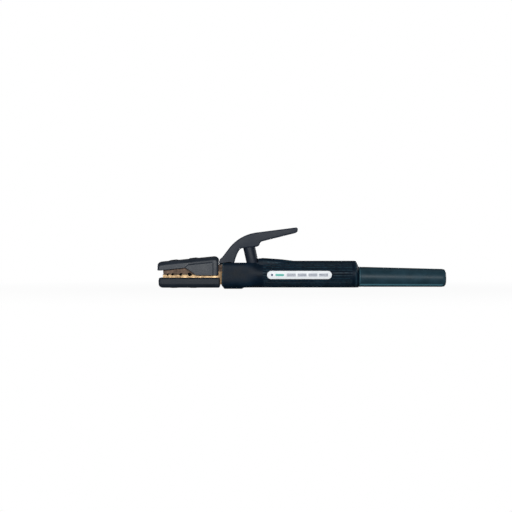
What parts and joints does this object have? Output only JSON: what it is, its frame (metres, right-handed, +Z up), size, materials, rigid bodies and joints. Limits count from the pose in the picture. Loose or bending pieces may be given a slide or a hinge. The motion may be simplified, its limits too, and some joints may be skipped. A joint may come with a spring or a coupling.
{
  "type": "electrode holder",
  "caption": "Lever-type welding electrode holder: insulated spring-loaded jaws, ribbed grip with pin-hinged lever, and a rubber boot over the cable socket.",
  "frame": {"origin": "middle of the holder's length and width, at the height of the flat pad under its collar", "axes": "+X towards the cable end, +Y away from the label, +Z up, on the lever's side"},
  "size_m": [0.333, 0.031, 0.0708],
  "materials": {
    "cover_plastic": "satin moulded, dark slate grey",
    "lever_plastic": "smooth moulded, dark slate blue",
    "grip_plastic": "matt moulded, fine ribs",
    "sleeve_plastic": "satin moulded",
    "boot_rubber": "smooth black rubber with a blue-green cast",
    "jaw_brass": "cast, satin",
    "dark_brass": "cast, tarnished brown",
    "screw_brass": "machined",
    "copper_sheet": "rolled copper",
    "steel": "zinc plated",
    "washer_fibre": "vulcanised fibre",
    "label_film": "printed film"
  },
  "bodies": {
    "holder_body": {"lower_jaw": "jaw_brass", "pivot_pin": "steel", "pivot_snap_ring": "steel", "pivot_washer_left": "washer_fibre", "pivot_washer_right": "washer_fibre", "lower_insulator": "cover_plastic", "lower_insulator_screw_front": "screw_brass", "lower_insulator_screw_rear": "screw_brass", "spring_seat": "steel", "return_spring": "steel", "handle": "grip_plastic", "label_plate": "label_film", "handle_screw": "steel", "cable_socket": "jaw_brass", "socket_cross_pin": "steel", "cable_pressure_plate": "copper_sheet", "socket_screw_front": "steel", "socket_screw_rear": "steel", "cable_boot": "boot_rubber"},
    "lever": {"upper_jaw": "dark_brass", "upper_insulator": "cover_plastic", "upper_insulator_screw_front": "screw_brass", "upper_insulator_screw_rear": "screw_brass", "lever_grip": "lever_plastic", "lever_screw": "steel", "spring_sleeve": "sleeve_plastic", "spring_cup": "steel"}
  },
  "joints": [
    {"name": "lever_squeeze", "type": "hinge", "parent": "holder_body", "child": "lever", "pos_m": [-0.08425, 0, 0.0219], "axis": [0, 1, 0], "range_deg": [0, 16], "stiffness_Nm_per_rad": 6.5, "springref_deg": -29.79, "deforming": ["return_spring"]}
  ]
}
